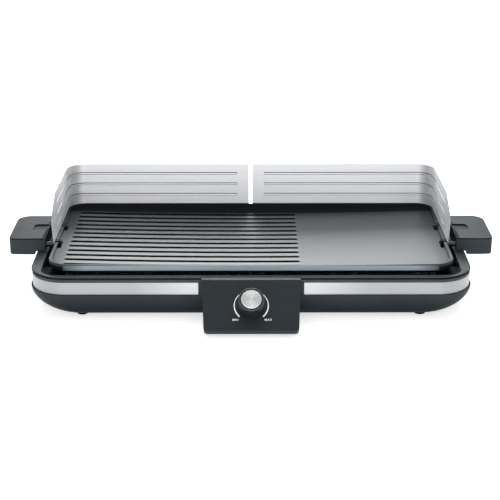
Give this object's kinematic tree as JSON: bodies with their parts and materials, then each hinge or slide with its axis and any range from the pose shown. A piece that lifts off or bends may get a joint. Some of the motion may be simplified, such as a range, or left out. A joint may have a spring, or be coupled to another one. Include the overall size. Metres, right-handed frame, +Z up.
{
  "type": "table-top electric grill",
  "caption": "Table-top electric grill with a ribbed and smooth lift-off plate, a two-piece steel windshield, side handles and a sloping control box with a dial.",
  "frame": {"origin": "on the table under the middle of the whole grill", "axes": "+X along the width to the right seen from the control box, +Y from the control box to the back, +Z up"},
  "size_m": [0.6846, 0.3806, 0.1358],
  "materials": {
    "body_plastic": "dark grey heat-resistant plastic with a soft sheen",
    "trim_steel": "satin steel band, brushed along its length",
    "foot_rubber": "black rubber",
    "screw_steel": "zinc-plated steel",
    "reflector_sheet": "bright aluminised steel sheet",
    "element_tube": "heat-darkened steel tube",
    "clip_steel": "plain sheet steel",
    "control_case": "plated steel case",
    "sensor_metal": "copper capillary and bulb",
    "terminal_body": "cream ceramic",
    "knob_plastic": "black plastic with a soft sheen",
    "cap_metal": "turned aluminium disc",
    "plate_coating": "cast aluminium with a dark grey non-stick coating",
    "handle_plastic": "dark grey heat-resistant plastic",
    "shield_steel": "satin stainless sheet"
  },
  "bodies": {
    "base": {"base_shell": "body_plastic", "base_frame": "body_plastic", "trim_band_left": "trim_steel", "trim_band_right": "trim_steel", "foot_front_left": "foot_rubber", "foot_front_right": "foot_rubber", "foot_rear_left": "foot_rubber", "foot_rear_right": "foot_rubber", "frame_screws": "screw_steel", "heat_reflector": "reflector_sheet", "reflector_screws": "screw_steel", "heating_element": "element_tube", "element_clips": "clip_steel", "control_housing": "body_plastic", "control_screws": "screw_steel", "control_cover": "body_plastic", "cover_screws": "screw_steel", "thermostat": "control_case", "bush_nut": "screw_steel", "sensor_bulb": "sensor_metal", "bulb_clip": "clip_steel", "terminal_block": "terminal_body", "cord_gland": "body_plastic"},
    "plate": {"grill_plate": "plate_coating", "handle_left": "handle_plastic", "handle_spacers_left": "screw_steel", "handle_bolts_left": "screw_steel", "handle_right": "handle_plastic", "handle_spacers_right": "screw_steel", "handle_bolts_right": "screw_steel"},
    "shield_left": {"windshield_left": "shield_steel"},
    "shield_right": {"windshield_right": "shield_steel"},
    "dial": {"knob": "knob_plastic", "knob_cap": "cap_metal", "knob_spindle": "screw_steel"}
  },
  "joints": [
    {"name": "plate_lift", "type": "slide", "parent": "base", "child": "plate", "axis": [0, 0, 1], "range_m": [0, 0.12]},
    {"name": "windshield_left_lift", "type": "slide", "parent": "plate", "child": "shield_left", "axis": [0, 0, 1], "range_m": [0, 0.08]},
    {"name": "windshield_right_lift", "type": "slide", "parent": "plate", "child": "shield_right", "axis": [0, 0, 1], "range_m": [0, 0.08]},
    {"name": "dial_turn", "type": "hinge", "parent": "base", "child": "dial", "pos_m": [0, -0.16144, 0.03506], "axis": [0, 0.6428, -0.766], "range_deg": [0, 270]}
  ]
}
